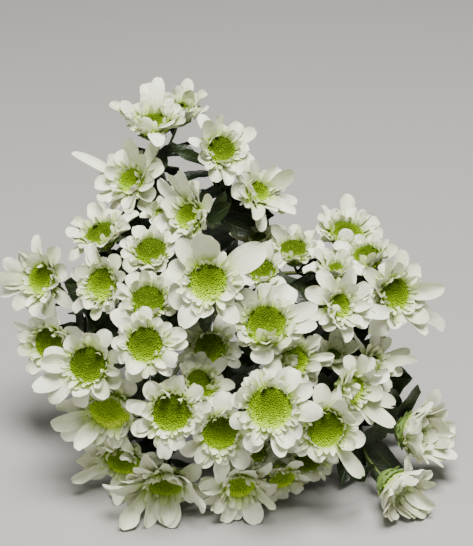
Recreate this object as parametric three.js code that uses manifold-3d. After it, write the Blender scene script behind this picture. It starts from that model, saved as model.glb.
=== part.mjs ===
// A cut chrysanthemum spray with many white, green-eyed blooms, lying on a table.
// One woody stem rises from its cut end to a dome of blooms, carried on forked side branches.
// Millimetres, +Z up, the table at Z = 0. The blooms face -Y and up, and the cut end lies at +Y.
import * as THREE from "three";
import { mergeVertices } from "three/addons/utils/BufferGeometryUtils.js";
import Module from "manifold-3d";

const wasm = await Module();
wasm.setup();

// How the photograph sees the dome. Places in it are pixels of its 473 x 546 frame, and the
// picture plane is an upright sheet through the dome's rim, square to the lens.
const PHOTO_CENTRE = { x: 236.5, y: 273 };
const MM_PER_PIXEL = 0.62; // on the picture plane
const VIEW_DISTANCE = 1000; // from the lens to the picture plane
const VIEW_ELEVATION = 28; // degrees that the lens looks down
const PICTURE_HEIGHT = 134; // of the picture's centre above the table

// One bloom's parts, as shares of its radius or in millimetres.
const SOLID_SHARE = 0.88; // of the radius: past it the petals are only separate round tips
const DISC_SHARE = 0.4;
const DISC_RISE = 2.6;
const PETAL_THICKNESS = 1.4;
const PETAL_ARCH = 0.1; // how far the middle of a petal bows up, of its length
const SCALLOP = 0.12; // depth of the notches between petal tips
const PETALS_ROUND = 6;
const RIM_LIMIT = 0.999; // of the rim's radius: points past it are on the rim
const CALYX_DEPTH = 10;
const CALYX_FOOT = 1.8;
const CALYX_SHARE = 0.34;
const GOLDEN_ANGLE = 137.5; // by which each bloom is turned further than the one before

// How the blooms settle behind each other.
const BLOOM_CLEARANCE = 0.8;
const CELL = 1.5; // of the grid that finds which blooms cover each other
const CELL_STEPS = 6; // along each edge of a bloom's half section
const CELL_TURNS = 72; // round its axis
const SETTLING_ROUNDS = 4;
const SETTLING_SWEEPS = 300;

// Stems. Each rod is a few straight runs between rings of a few sides.
const SEAT_GAP = 0.4; // between a bloom or a leaf and the stem that carries it
const STALK = { radius: 1.1, steps: 5, sides: 5 };
const BRANCH = { radius: 1.7, steps: 6, sides: 6 };
const STEM = { foot: 3.8, top: 2.5, steps: 18, sides: 10 };
const KNUCKLE_RADIUS = 2.3; // of the swelling where stalks fork
const BRANCH_LEAVE = 0.4; // how far a branch keeps the stem's direction, of its length
const BRANCH_ARRIVE = 0.3; // how far before its fork it turns to its blooms
const STALK_CLEARANCE = 0.6; // between a stalk's skin and the blooms that it passes
const STALK_LEAVE = 0.3;
const STALK_ARRIVE = [0.35, 0.5, 0.2]; // how far behind its bloom a stalk turns, of its length
const STALK_BENDS = [0, 0.15, 0.3, 0.45]; // how far it bends aside, of its length
const BEND_TURNS = 8;
const BEND_KEPT = 0.5; // share of the bend that is left near the bloom
const OWN_BLOOM = 0.8; // past this share of its way, a stalk may touch its own bloom
const SAMPLES_PER_RUN = 8;

// Leaves.
const LEAF_THICKNESS = 0.9;
const LEAF_STALK = 0.24; // share of a leaf's length
const LEAF_STALK_WIDTH = 2.4;
const LEAF_STALK_THICKENING = 2;
const LEAF_LOBES = 3; // on each side
const LEAF_LOBING = 0.18; // depth of the lobes, of the blade's half width
const LEAF_TIP_SHIFT = 0.75; // below 1, the blade is widest nearer its foot
const LEAF_BOW = 0.08; // of the length
const LEAF_FOLD = 0.25; // how far the sides rise from the midrib, of their width
const LEAF_STEPS = 12;
const LEAF_CLEARANCE = 0.8;
const LEAF_SPACING = 3.6; // between the tested points of two leaves
const LEAF_TEST_STEP = { along: 0.04, across: 0.12 }; // of the length and of the half width
const SLOPE_STEP = 0.01; // of the length, over which a leaf's slope is measured

const TABLE_SIZE = 1000;
const MERGE_DISTANCE = 1e-4;
const radians = THREE.MathUtils.degToRad;
const vector = (x, y, z) => new THREE.Vector3(x, y, z);

const RIGHT = vector(1, 0, 0);
const UP = vector(0, Math.sin(radians(VIEW_ELEVATION)), Math.cos(radians(VIEW_ELEVATION)));
const TOWARDS = vector(0, -Math.cos(radians(VIEW_ELEVATION)), Math.sin(radians(VIEW_ELEVATION)));

// Every bloom. x and y are its disc's middle in the photograph, and depth is how far it stands in
// front of the picture plane, judged from what covers what. width is its real width, turn and lift
// are the degrees that it faces right and up from the lens, and cup is how steeply its petals rise.
const BLOOMS = [
  { x: 153, y: 125, depth: -24, width: 54, turn: -5, lift: 50, cup: 30, branch: "top" },
  { x: 132, y: 182, depth: -8, width: 54, turn: -25, lift: 20, cup: 18, branch: "top" },
  { x: 102, y: 236, depth: -5, width: 48, turn: -20, lift: 45, cup: 20, branch: "left_top" },
  { x: 160, y: 215, depth: -14, width: 28, turn: 0, lift: 30, cup: 40, branch: "left_top" },
  { x: 180, y: 112, depth: -54, width: 46, turn: 15, lift: 46, cup: 34, branch: "top" },
  { x: 220, y: 151, depth: -12, width: 48, turn: 25, lift: 22, cup: 16, branch: "top_right" },
  { x: 257, y: 194, depth: -18, width: 52, turn: 25, lift: 20, cup: 18, branch: "top_right" },
  { x: 190, y: 217, depth: 10, width: 49, turn: -34, lift: 12, cup: 22, branch: "top_right" },
  { x: 151, y: 253, depth: 20, width: 43, turn: -5, lift: 32, cup: 18, branch: "middle" },
  { x: 208, y: 282, depth: 52, width: 56, turn: 0, lift: 4, cup: 8, branch: "middle" },
  { x: 262, y: 272, depth: 14, width: 36, turn: -8, lift: 30, cup: 34, branch: "middle" },
  { x: 148, y: 302, depth: 30, width: 44, turn: 5, lift: 28, cup: 18, branch: "middle" },
  { x: 145, y: 345, depth: 40, width: 48, turn: -5, lift: 8, cup: 14, branch: "middle" },
  { x: 210, y: 348, depth: 2, width: 44, turn: 0, lift: -5, cup: 20, branch: "low_middle" },
  { x: 266, y: 326, depth: 42, width: 54, turn: 0, lift: 18, cup: 12, branch: "right_middle" },
  { x: 103, y: 285, depth: 22, width: 46, turn: -25, lift: 5, cup: 16, branch: "left_top" },
  { x: 43, y: 280, depth: -30, width: 54, turn: -30, lift: 5, cup: 12, branch: "left" },
  { x: 52, y: 344, depth: -34, width: 52, turn: -28, lift: -12, cup: 16, branch: "left" },
  { x: 89, y: 365, depth: 18, width: 52, turn: -15, lift: 0, cup: 14, branch: "left" },
  { x: 110, y: 409, depth: 12, width: 57, turn: -12, lift: -24, cup: 12, branch: "low_left" },
  { x: 171, y: 412, depth: 42, width: 52, turn: 0, lift: -5, cup: 12, branch: "low_left" },
  { x: 199, y: 386, depth: 24, width: 44, turn: 32, lift: 28, cup: 20, branch: "low_middle" },
  { x: 220, y: 432, depth: 32, width: 50, turn: 12, lift: -18, cup: 14, branch: "low_middle" },
  { x: 270, y: 408, depth: 52, width: 57, turn: 5, lift: 4, cup: 10, branch: "right_middle" },
  { x: 294, y: 361, depth: 24, width: 45, turn: 28, lift: 5, cup: 20, branch: "right_middle" },
  { x: 351, y: 389, depth: 14, width: 52, turn: 36, lift: -8, cup: 22, branch: "right_low" },
  { x: 371, y: 364, depth: -12, width: 45, turn: 35, lift: 15, cup: 20, branch: "right_low" },
  { x: 333, y: 357, depth: -4, width: 38, turn: 0, lift: 35, cup: 30, branch: "right" },
  { x: 325, y: 428, depth: 34, width: 52, turn: 5, lift: -10, cup: 14, branch: "low_right" },
  { x: 411, y: 432, depth: -22, width: 60, turn: 54, lift: -5, cup: 34, branch: "right_low" },
  { x: 393, y: 485, depth: 4, width: 54, turn: 50, lift: -30, cup: 30, branch: "right_low" },
  { x: 338, y: 306, depth: 16, width: 49, turn: 30, lift: 5, cup: 18, branch: "right" },
  { x: 393, y: 294, depth: -14, width: 59, turn: 28, lift: 5, cup: 14, branch: "right" },
  { x: 346, y: 236, depth: -20, width: 50, turn: 10, lift: 42, cup: 24, branch: "right_top" },
  { x: 294, y: 252, depth: -20, width: 42, turn: 0, lift: 48, cup: 24, branch: "right_top" },
  { x: 367, y: 258, depth: -16, width: 42, turn: -20, lift: 45, cup: 24, branch: "right_top" },
  { x: 335, y: 272, depth: -2, width: 40, turn: 0, lift: 52, cup: 30, branch: "right_top" },
  { x: 165, y: 482, depth: 6, width: 64, turn: 0, lift: -46, cup: 12, branch: "low_left" },
  { x: 123, y: 459, depth: -10, width: 52, turn: -15, lift: -40, cup: 14, branch: "low_left" },
  { x: 240, y: 484, depth: 8, width: 54, turn: 10, lift: -34, cup: 12, branch: "low_middle" },
  { x: 307, y: 457, depth: -16, width: 43, turn: 5, lift: -28, cup: 24, branch: "low_right" },
  { x: 281, y: 476, depth: -4, width: 38, turn: 15, lift: -40, cup: 24, branch: "low_right" },
  { x: 252, y: 450, depth: -18, width: 39, turn: -5, lift: -15, cup: 22, branch: "low_right" },
  { x: 259, y: 241, depth: -36, width: 40, turn: -5, lift: 45, cup: 24, branch: "top_right" },
];

// The stem's middle line in millimetres, from its cut end on the table to the fork under the dome.
const STEM_LINE = [
  [-42, 405, 3.7],
  [-38, 300, 21],
  [-30, 200, 43],
  [-20, 120, 60],
  [-14, 57, 70],
];

// Side branches: where each forks into stalks, as a place in the photograph, and how far up the
// stem it starts, as a share of the stem's length.
const BRANCHES = {
  top: { x: 160, y: 165, depth: -75, from: 0.52 },
  top_right: { x: 222, y: 200, depth: -70, from: 0.66 },
  left_top: { x: 125, y: 250, depth: -60, from: 0.7 },
  left: { x: 85, y: 330, depth: -70, from: 0.62 },
  low_left: { x: 150, y: 420, depth: -50, from: 0.8 },
  middle: { x: 195, y: 295, depth: -50, from: 0.9 },
  low_middle: { x: 220, y: 400, depth: -50, from: 0.94 },
  right_middle: { x: 270, y: 360, depth: -45, from: 0.86 },
  low_right: { x: 290, y: 430, depth: -60, from: 0.76 },
  right: { x: 345, y: 315, depth: -60, from: 0.74 },
  right_top: { x: 325, y: 270, depth: -75, from: 0.6 },
  right_low: { x: 355, y: 400, depth: -65, from: 0.68 },
};

// Leaves in the dome: the branch and how far along it each grows, and where its tip shows in the
// photograph. Then the leaves along the stem, with how far their tips lie from where they grow.
const LEAVES = [
  { on: "top_right", along: 0.67, tip: { x: 242, y: 238, depth: -34 }, width: 46 },
  { on: "right_top", along: 0.67, tip: { x: 270, y: 300, depth: -34 }, width: 48 },
  { on: "right", along: 0.83, tip: { x: 368, y: 342, depth: -26 }, width: 40 },
  { on: "right", along: 0.5, tip: { x: 326, y: 344, depth: -60 }, width: 50 },
  { on: "low_middle", along: 0.67, tip: { x: 246, y: 372, depth: -30 }, width: 48 },
  { on: "top", along: 0.83, tip: { x: 160, y: 200, depth: -34 }, width: 34 },
  { on: "left", along: 0.83, tip: { x: 104, y: 334, depth: -26 }, width: 36 },
  { on: "left", along: 0.5, tip: { x: 64, y: 298, depth: -70 }, width: 44 },
  { on: "left_top", along: 0.67, tip: { x: 122, y: 212, depth: -54 }, width: 40 },
  { on: "right_low", along: 0.83, tip: { x: 398, y: 394, depth: -40 }, width: 32 },
  { on: "right_low", along: 0.5, tip: { x: 376, y: 450, depth: -44 }, width: 42 },
  { on: "right_low", along: 0.67, tip: { x: 354, y: 488, depth: -14 }, width: 24 },
  { on: "low_right", along: 0.67, tip: { x: 280, y: 500, depth: 2 }, width: 28 },
];
const STEM_LEAVES = [
  { along: 0.28, right: 54, ahead: 56, above: 14, width: 40 },
  { along: 0.39, right: -56, ahead: 50, above: 16, width: 40 },
];

// A point of the part, from a place in the photograph and its depth in front of the picture plane.
function placeOf({ x, y, depth }) {
  const shrink = (MM_PER_PIXEL * (VIEW_DISTANCE - depth)) / VIEW_DISTANCE;
  return vector(0, 0, PICTURE_HEIGHT)
    .addScaledVector(RIGHT, (x - PHOTO_CENTRE.x) * shrink)
    .addScaledVector(UP, (PHOTO_CENTRE.y - y) * shrink)
    .addScaledVector(TOWARDS, depth);
}

function facing({ turn, lift }) {
  const level = Math.cos(radians(lift));
  return vector(0, 0, 0)
    .addScaledVector(RIGHT, Math.sin(radians(turn)) * level)
    .addScaledVector(UP, Math.sin(radians(lift)))
    .addScaledVector(TOWARDS, Math.cos(radians(turn)) * level);
}

// A bloom's half section, from the foot of the calyx round the petals to the middle of the disc.
function bloomProfile({ width, cup }) {
  const radius = (width / 2) * SOLID_SHARE;
  const disc = (width / 2) * DISC_SHARE;
  const length = radius - disc;
  const rise = length * Math.tan(radians(cup));
  const points = [
    [0, -CALYX_DEPTH],
    [CALYX_FOOT, -CALYX_DEPTH],
    [(width / 2) * CALYX_SHARE, -PETAL_THICKNESS],
    [radius, rise - PETAL_THICKNESS / 2],
    [disc + length / 2, rise / 2 + length * PETAL_ARCH],
    [disc, PETAL_THICKNESS / 2],
    [disc / 2, DISC_RISE],
    [0, DISC_RISE],
  ];
  return points.map(([r, h]) => new THREE.Vector2(r, h));
}

// The half section turned round +Y, with its rim notched between the petals.
function bloomGeometry(bloom) {
  const geometry = new THREE.LatheGeometry(bloom.profile, PETALS_ROUND * 2);
  const position = geometry.attributes.position;
  const rim = (bloom.width / 2) * SOLID_SHARE;
  for (let i = 0; i < position.count; i++) {
    const [x, y, z] = [position.getX(i), position.getY(i), position.getZ(i)];
    const onRim = Math.hypot(x, z) > rim * RIM_LIMIT;
    const wave = (1 - Math.cos(Math.atan2(z, x) * PETALS_ROUND)) / 2;
    const scale = onRim ? 1 - SCALLOP * wave : 1;
    position.setXYZ(i, x * scale, y, z * scale);
  }
  return geometry.rotateY(radians(bloom.number * GOLDEN_ANGLE));
}

// The nearest and furthest parts of a bloom over each cell of the picture, from its own middle.
function coverOf(bloom) {
  const upright = new THREE.Quaternion().setFromUnitVectors(vector(0, 1, 0), bloom.normal);
  const spread = VIEW_DISTANCE / (VIEW_DISTANCE - bloom.depth);
  const cells = new Map();
  for (let edge = 1; edge < bloom.profile.length; edge++)
    for (let step = 0; step <= CELL_STEPS; step++) {
      const at = bloom.profile[edge - 1].clone().lerp(bloom.profile[edge], step / CELL_STEPS);
      for (let k = 0; k < CELL_TURNS; k++) {
        const angle = (k / CELL_TURNS) * 2 * Math.PI;
        const point = vector(at.x * Math.cos(angle), at.y, at.x * Math.sin(angle));
        point.applyQuaternion(upright);
        const across = (bloom.x - PHOTO_CENTRE.x) * MM_PER_PIXEL + point.dot(RIGHT) * spread;
        const above = (PHOTO_CENTRE.y - bloom.y) * MM_PER_PIXEL + point.dot(UP) * spread;
        const key = `${Math.round(across / CELL)} ${Math.round(above / CELL)}`;
        const cell = cells.get(key) ?? { near: -Infinity, far: Infinity };
        cell.near = Math.max(cell.near, point.dot(TOWARDS));
        cell.far = Math.min(cell.far, point.dot(TOWARDS));
        cells.set(key, cell);
      }
    }
  return cells;
}

// How far the front bloom's middle has to stand before the back one's, or -Infinity if neither
// covers the other.
function roomBetween(back, front) {
  let room = -Infinity;
  for (const [key, cell] of front) {
    const behind = back.get(key);
    if (behind) room = Math.max(room, behind.near - cell.far + BLOOM_CLEARANCE);
  }
  return room;
}

// Blooms that cover each other move apart along the view, each by half of what is missing.
function settleBlooms() {
  const order = [...BLOOMS].sort((a, b) => a.depth - b.depth);
  for (let round = 0; round < SETTLING_ROUNDS; round++) {
    const covers = order.map(coverOf);
    const pairs = [];
    for (let front = 1; front < order.length; front++)
      for (let back = 0; back < front; back++) {
        const room = roomBetween(covers[back], covers[front]);
        if (room > -Infinity) pairs.push([order[back], order[front], room]);
      }
    for (let sweep = 0; sweep < SETTLING_SWEEPS; sweep++)
      for (const [back, front, room] of pairs) {
        const missing = Math.max(0, room - (front.depth - back.depth));
        back.depth -= missing / 2;
        front.depth += missing / 2;
      }
  }
}

function solidOf(geometry) {
  const bare = new THREE.BufferGeometry();
  bare.setAttribute("position", geometry.attributes.position);
  bare.setIndex(geometry.index);
  const merged = mergeVertices(bare, MERGE_DISTANCE);
  const mesh = new wasm.Mesh({
    numProp: 3,
    vertProperties: new Float32Array(merged.attributes.position.array),
    triVerts: new Uint32Array(merged.index.array),
  });
  return new wasm.Manifold(mesh);
}

function geometryOf(solid) {
  const mesh = solid.getMesh();
  const geometry = new THREE.BufferGeometry();
  geometry.setAttribute("position", new THREE.BufferAttribute(mesh.vertProperties, 3));
  geometry.setIndex(new THREE.BufferAttribute(mesh.triVerts, 1));
  return geometry;
}

// What would sink into the table lies pressed flat on it. The matrix places the geometry.
function pressedFlat(geometry, matrix) {
  const below = new THREE.BoxGeometry(TABLE_SIZE, TABLE_SIZE, TABLE_SIZE);
  below.translate(0, 0, -TABLE_SIZE / 2).applyMatrix4(matrix.clone().invert());
  return geometryOf(solidOf(geometry).subtract(solidOf(below)));
}

// A closed round rod along a curve. radiusAt gives its radius from the share of the way along.
function rodGeometry(curve, { steps, sides }, radiusAt) {
  const frames = curve.computeFrenetFrames(steps);
  const points = [curve.getPointAt(0)];
  for (let i = 0; i <= steps; i++)
    for (let k = 0; k < sides; k++) {
      const angle = (k / sides) * 2 * Math.PI;
      const radius = radiusAt(i / steps);
      const point = curve.getPointAt(i / steps);
      point.addScaledVector(frames.normals[i], radius * Math.cos(angle));
      points.push(point.addScaledVector(frames.binormals[i], radius * Math.sin(angle)));
    }
  points.push(curve.getPointAt(1));
  const faces = [];
  const at = (i, k) => 1 + i * sides + (k % sides);
  for (let k = 0; k < sides; k++) {
    faces.push(0, at(0, k + 1), at(0, k));
    faces.push(points.length - 1, at(steps, k), at(steps, k + 1));
    for (let i = 0; i < steps; i++) {
      faces.push(at(i, k), at(i, k + 1), at(i + 1, k + 1));
      faces.push(at(i, k), at(i + 1, k + 1), at(i + 1, k));
    }
  }
  return new THREE.BufferGeometry().setFromPoints(points).setIndex(faces);
}

// Points on the straight runs of a rod, evenly spread from its start to its end.
function pointsOnRuns(curve, steps) {
  const knots = curve.getSpacedPoints(steps);
  const points = [knots[0]];
  for (let i = 1; i <= steps; i++)
    for (let k = 1; k <= SAMPLES_PER_RUN; k++)
      points.push(knots[i - 1].clone().lerp(knots[i], k / SAMPLES_PER_RUN));
  return points;
}

// The distance from a point beside a bloom's axis to its half section, less than 0 inside it.
function profileDistance(profile, r, h) {
  let nearest = Infinity;
  let inside = false;
  for (let i = 1; i < profile.length; i++) {
    const [a, b] = [profile[i - 1], profile[i]];
    const [dr, dh] = [b.x - a.x, b.y - a.y];
    const share = ((r - a.x) * dr + (h - a.y) * dh) / (dr * dr + dh * dh);
    const t = THREE.MathUtils.clamp(share, 0, 1);
    nearest = Math.min(nearest, Math.hypot(r - a.x - t * dr, h - a.y - t * dh));
    if (a.y > h !== b.y > h && r < a.x + ((h - a.y) / dh) * dr) inside = !inside;
  }
  return inside ? -nearest : nearest;
}

function clearOfBlooms(point, except) {
  let nearest = Infinity;
  for (const bloom of BLOOMS) {
    if (bloom === except) continue;
    const offset = point.clone().sub(bloom.centre);
    if (offset.length() - bloom.width > nearest) continue;
    const h = offset.dot(bloom.normal);
    const r = Math.sqrt(Math.max(0, offset.lengthSq() - h * h));
    nearest = Math.min(nearest, profileDistance(bloom.profile, r, h));
  }
  return nearest;
}

// How far a stalk's middle line stays from all blooms and the table. It may meet its own bloom.
function stalkClearance(curve, bloom) {
  const points = pointsOnRuns(curve, STALK.steps);
  const room = points.map((point, i) => {
    const met = i > points.length * OWN_BLOOM ? bloom : null;
    return Math.min(clearOfBlooms(point, met), point.z);
  });
  return Math.min(...room);
}

// Of several bends of a stalk from its fork to its bloom, the first that passes clear of the other
// blooms, or else the clearest.
function stalkCurve(bloom, fork) {
  const length = fork.centre.distanceTo(bloom.seat);
  let best = { clear: -Infinity };
  for (const sideways of STALK_BENDS)
    for (const arrive of STALK_ARRIVE)
      for (let k = 0; k < (sideways ? BEND_TURNS : 1); k++) {
        const angle = (k / BEND_TURNS) * 2 * Math.PI;
        const bend = RIGHT.clone().multiplyScalar(Math.cos(angle) * sideways * length);
        bend.addScaledVector(UP, Math.sin(angle) * sideways * length);
        const first = fork.centre.clone().addScaledVector(fork.heading, STALK_LEAVE * length);
        const last = bloom.seat.clone().addScaledVector(bloom.normal, -arrive * length);
        first.add(bend);
        last.addScaledVector(bend, BEND_KEPT);
        const curve = new THREE.CubicBezierCurve3(fork.centre, first, last, bloom.seat);
        const clear = stalkClearance(curve, bloom);
        if (clear > STALK.radius + STALK_CLEARANCE) return curve;
        if (clear > best.clear) best = { clear, curve };
      }
  return best.curve;
}

// The middle surface of a leaf: its midrib is an arc from where it grows to its tip, and the blade
// spreads on both sides of it, with its face turned to the given way. across runs from -1 to 1.
function leafSheet(base, tip, width, face) {
  const along = tip.clone().sub(base);
  const length = along.length();
  const side = along.clone().cross(face).normalize();
  const front = side.clone().cross(along).normalize();
  return (share, across) => {
    const blade = Math.max(0, (share - LEAF_STALK) / (1 - LEAF_STALK));
    const lobes = 1 + LEAF_LOBING * Math.sin(LEAF_LOBES * 2 * Math.PI * blade);
    const spread = (width / 2) * Math.sin(Math.PI * blade ** LEAF_TIP_SHIFT) * lobes;
    const half = share < 1 ? Math.max(LEAF_STALK_WIDTH / 2, spread) : 0;
    const bow = LEAF_BOW * length * Math.sin(Math.PI * share);
    const fold = LEAF_FOLD * Math.abs(across) * half;
    const point = base.clone().addScaledVector(along, share);
    return point.addScaledVector(side, across * half).addScaledVector(front, bow + fold);
  };
}

// The leaf as a thin solid: rings of six points round the sheet, closed at its foot and its tip.
function leafGeometry(sheet) {
  const points = [];
  for (let i = 0; i < LEAF_STEPS; i++) {
    const share = i / LEAF_STEPS;
    const ahead = sheet(share + SLOPE_STEP, 0).sub(sheet(share, 0));
    const normal = sheet(share, 0.5).sub(sheet(share, -0.5)).cross(ahead).normalize();
    const half = (LEAF_THICKNESS / 2) * (share < LEAF_STALK ? LEAF_STALK_THICKENING : 1);
    for (const across of [-1, 0, 1]) points.push(sheet(share, across).addScaledVector(normal, -half));
    for (const across of [1, 0, -1]) points.push(sheet(share, across).addScaledVector(normal, half));
  }
  points.push(sheet(1, 0));
  const faces = [];
  const at = (ring, k) => ring * 6 + (k % 6);
  for (let k = 0; k < 6; k++) {
    for (let ring = 0; ring + 1 < LEAF_STEPS; ring++) {
      faces.push(at(ring, k), at(ring + 1, k), at(ring + 1, k + 1));
      faces.push(at(ring, k), at(ring + 1, k + 1), at(ring, k + 1));
    }
    faces.push(at(LEAF_STEPS - 1, k), points.length - 1, at(LEAF_STEPS - 1, k + 1));
  }
  for (let k = 1; k < 5; k++) faces.push(0, k, k + 1);
  return new THREE.BufferGeometry().setFromPoints(points).setIndex(faces);
}

// Each rod of the stem keeps what the leaves need: its curve, its skin with the seat gap, and
// points along its middle line.
const rods = [];
function rodSolid(curve, form, radiusAt) {
  const seat = solidOf(rodGeometry(curve, form, (share) => radiusAt(share) + SEAT_GAP));
  rods.push({ curve, seat, radiusAt, steps: form.steps, points: pointsOnRuns(curve, form.steps) });
  return solidOf(rodGeometry(curve, form, radiusAt));
}

function clearOfRods(point) {
  let nearest = Infinity;
  for (const rod of rods)
    rod.points.forEach((middle, i) => {
      const radius = rod.radiusAt(i / rod.points.length);
      nearest = Math.min(nearest, point.distanceTo(middle) - radius);
    });
  return nearest;
}

// The tested points of every leaf placed so far.
const leafPoints = [];
function clearOfLeaves(point) {
  let nearest = Infinity;
  for (const other of leafPoints) nearest = Math.min(nearest, point.distanceTo(other));
  return nearest - LEAF_SPACING;
}

// How far a leaf stays from all that stands round it, or any lower number once it is under enough.
function leafClearance(sheet, enough) {
  let nearest = Infinity;
  for (let share = LEAF_TEST_STEP.along; share <= 1; share += LEAF_TEST_STEP.along)
    for (let across = -1; across <= 1; across += LEAF_TEST_STEP.across) {
      const point = sheet(share, across);
      nearest = Math.min(nearest, clearOfBlooms(point), clearOfLeaves(point), point.z);
      if (share > LEAF_STALK / 2) nearest = Math.min(nearest, clearOfRods(point));
      if (nearest < enough) return nearest;
    }
  return nearest - LEAF_THICKNESS / 2;
}

// The ways to move a leaf's tip out of the way, in millimetres back along the view, aside and up,
// with the smallest first.
const LEAF_MOVES = [0, 8, 16, 24, 32, 40]
  .flatMap((back) => [0, -10, 10, -20, 20].map((aside) => [back, aside]))
  .flatMap((move) => [0, -10, 10, -20, 20].map((above) => [...move, above]))
  .sort((a, b) => Math.hypot(...a) - Math.hypot(...b));

// A leaf grows from the skin of its rod, at one of the rod's rings. Its tip goes where it is asked
// to, or by the smallest move that takes the leaf clear of blooms and stalks.
function leafOn(rod, along, tip, width, face) {
  const base = rod.curve.getPointAt(Math.round(along * rod.steps) / rod.steps);
  let best = { clear: -Infinity };
  for (const [back, aside, above] of LEAF_MOVES) {
    const end = tip.clone().addScaledVector(TOWARDS, -back);
    end.addScaledVector(RIGHT, aside).addScaledVector(UP, above);
    const sheet = leafSheet(base, end, width, face);
    const clear = leafClearance(sheet, best.clear);
    if (clear > best.clear) best = { clear, sheet };
    if (clear > LEAF_CLEARANCE) break;
  }
  for (let share = LEAF_STALK; share <= 1; share += LEAF_TEST_STEP.along)
    for (let across = -1; across <= 1; across += LEAF_TEST_STEP.across)
      leafPoints.push(best.sheet(share, across));
  return geometryOf(solidOf(leafGeometry(best.sheet)).subtract(rod.seat));
}

const group = new THREE.Group();
const petalFinish = new THREE.MeshStandardMaterial({ color: 0xf1f2e6, roughness: 0.7, metalness: 0 });
const stemFinish = new THREE.MeshStandardMaterial({ color: 0x5c6b2c, roughness: 0.65, metalness: 0 });
const leafFinish = new THREE.MeshStandardMaterial({ color: 0x27381a, roughness: 0.6, metalness: 0 });

function addMesh(name, geometry, material) {
  const mesh = new THREE.Mesh(geometry, material);
  mesh.name = name;
  group.add(mesh);
  return mesh;
}

BLOOMS.forEach((bloom, i) => {
  bloom.number = i + 1;
  bloom.normal = facing(bloom);
  bloom.profile = bloomProfile(bloom);
});
settleBlooms();

for (const bloom of BLOOMS) {
  bloom.centre = placeOf(bloom);
  bloom.seat = bloom.centre.clone().addScaledVector(bloom.normal, -CALYX_DEPTH - SEAT_GAP);
  const name = `bloom_${String(bloom.number).padStart(2, "0")}`;
  const mesh = addMesh(name, bloomGeometry(bloom), petalFinish);
  mesh.position.copy(bloom.centre);
  mesh.quaternion.setFromUnitVectors(vector(0, 1, 0), bloom.normal);
  mesh.updateMatrix();
  const lowest = new THREE.Box3().setFromObject(mesh, true).min.z;
  if (lowest < 0) mesh.geometry = pressedFlat(mesh.geometry, mesh.matrix);
}

// The stem with its side branches and stalks, grown as one piece.
const stemCurve = new THREE.CatmullRomCurve3(STEM_LINE.map(([x, y, z]) => vector(x, y, z)));
const stemRadius = (share) => THREE.MathUtils.lerp(STEM.foot, STEM.top, share);
const wood = [rodSolid(stemCurve, STEM, stemRadius)];

for (const [name, branch] of Object.entries(BRANCHES)) {
  const carried = BLOOMS.filter((bloom) => bloom.branch === name);
  const middle = vector(0, 0, 0);
  for (const bloom of carried) middle.addScaledVector(bloom.seat, 1 / carried.length);
  branch.centre = placeOf(branch);
  branch.heading = middle.sub(branch.centre).normalize();
  const start = stemCurve.getPointAt(branch.from);
  const leave = stemCurve.getTangentAt(branch.from);
  const length = start.distanceTo(branch.centre);
  const first = start.clone().addScaledVector(leave, BRANCH_LEAVE * length);
  const last = branch.centre.clone().addScaledVector(branch.heading, -BRANCH_ARRIVE * length);
  const curve = new THREE.CubicBezierCurve3(start, first, last, branch.centre);
  wood.push(rodSolid(curve, BRANCH, () => BRANCH.radius));
  branch.rod = rods.at(-1);
  const knuckle = new THREE.IcosahedronGeometry(KNUCKLE_RADIUS, 0).translate(...branch.centre);
  wood.push(solidOf(knuckle));
  for (const bloom of carried)
    wood.push(rodSolid(stalkCurve(bloom, branch), STALK, () => STALK.radius));
}
addMesh("stem", geometryOf(wood.reduce((whole, rod) => whole.add(rod))), stemFinish);

LEAVES.forEach(({ on, along, tip, width }, i) => {
  const leaf = leafOn(BRANCHES[on].rod, along, placeOf(tip), width, TOWARDS);
  addMesh(`leaf_${String(i + 1).padStart(2, "0")}`, leaf, leafFinish);
});

STEM_LEAVES.forEach(({ along, right, ahead, above, width }, i) => {
  const tip = stemCurve.getPointAt(along).add(vector(right, -ahead, above));
  const leaf = leafOn(rods[0], along, tip, width, vector(0, 0, 1));
  addMesh(`stem_leaf_${i + 1}`, leaf, leafFinish);
});

const box = new THREE.Box3().setFromObject(group, true);
group.position.set(-(box.min.x + box.max.x) / 2, -(box.min.y + box.max.y) / 2, 0);

export default group;
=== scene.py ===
# A cut spray of white chrysanthemums with lime-green eyes, lying on a table.
# Metres, +Z up, the table at Z = 0. The blooms face -Y and up, and the cut stem runs towards +Y.
import math

import bpy
import numpy as np
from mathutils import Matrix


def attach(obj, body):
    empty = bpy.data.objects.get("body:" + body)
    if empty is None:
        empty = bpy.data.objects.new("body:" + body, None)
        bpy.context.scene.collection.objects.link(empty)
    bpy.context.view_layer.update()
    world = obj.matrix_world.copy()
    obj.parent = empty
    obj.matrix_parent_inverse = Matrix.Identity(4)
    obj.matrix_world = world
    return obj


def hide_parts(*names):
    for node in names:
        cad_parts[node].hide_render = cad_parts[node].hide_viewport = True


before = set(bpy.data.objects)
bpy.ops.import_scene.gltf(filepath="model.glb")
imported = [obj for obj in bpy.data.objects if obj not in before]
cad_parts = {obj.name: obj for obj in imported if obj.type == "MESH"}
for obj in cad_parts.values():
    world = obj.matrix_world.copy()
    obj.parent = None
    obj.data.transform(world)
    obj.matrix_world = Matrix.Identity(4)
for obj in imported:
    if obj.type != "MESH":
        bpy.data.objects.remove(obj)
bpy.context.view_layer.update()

# The flower heads. Each is a green calyx cup, three rows of white rays, a ragged ring of quilled
# florets and a domed eye of tiny green florets, all grown on one axis at the end of a stalk.
HEAD_COUNT = 44
VIEW_DOWN = math.radians(28)  # how far the picture looks down on the spray
UP = np.array([0, math.sin(VIEW_DOWN), math.cos(VIEW_DOWN)])  # in the picture

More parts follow.
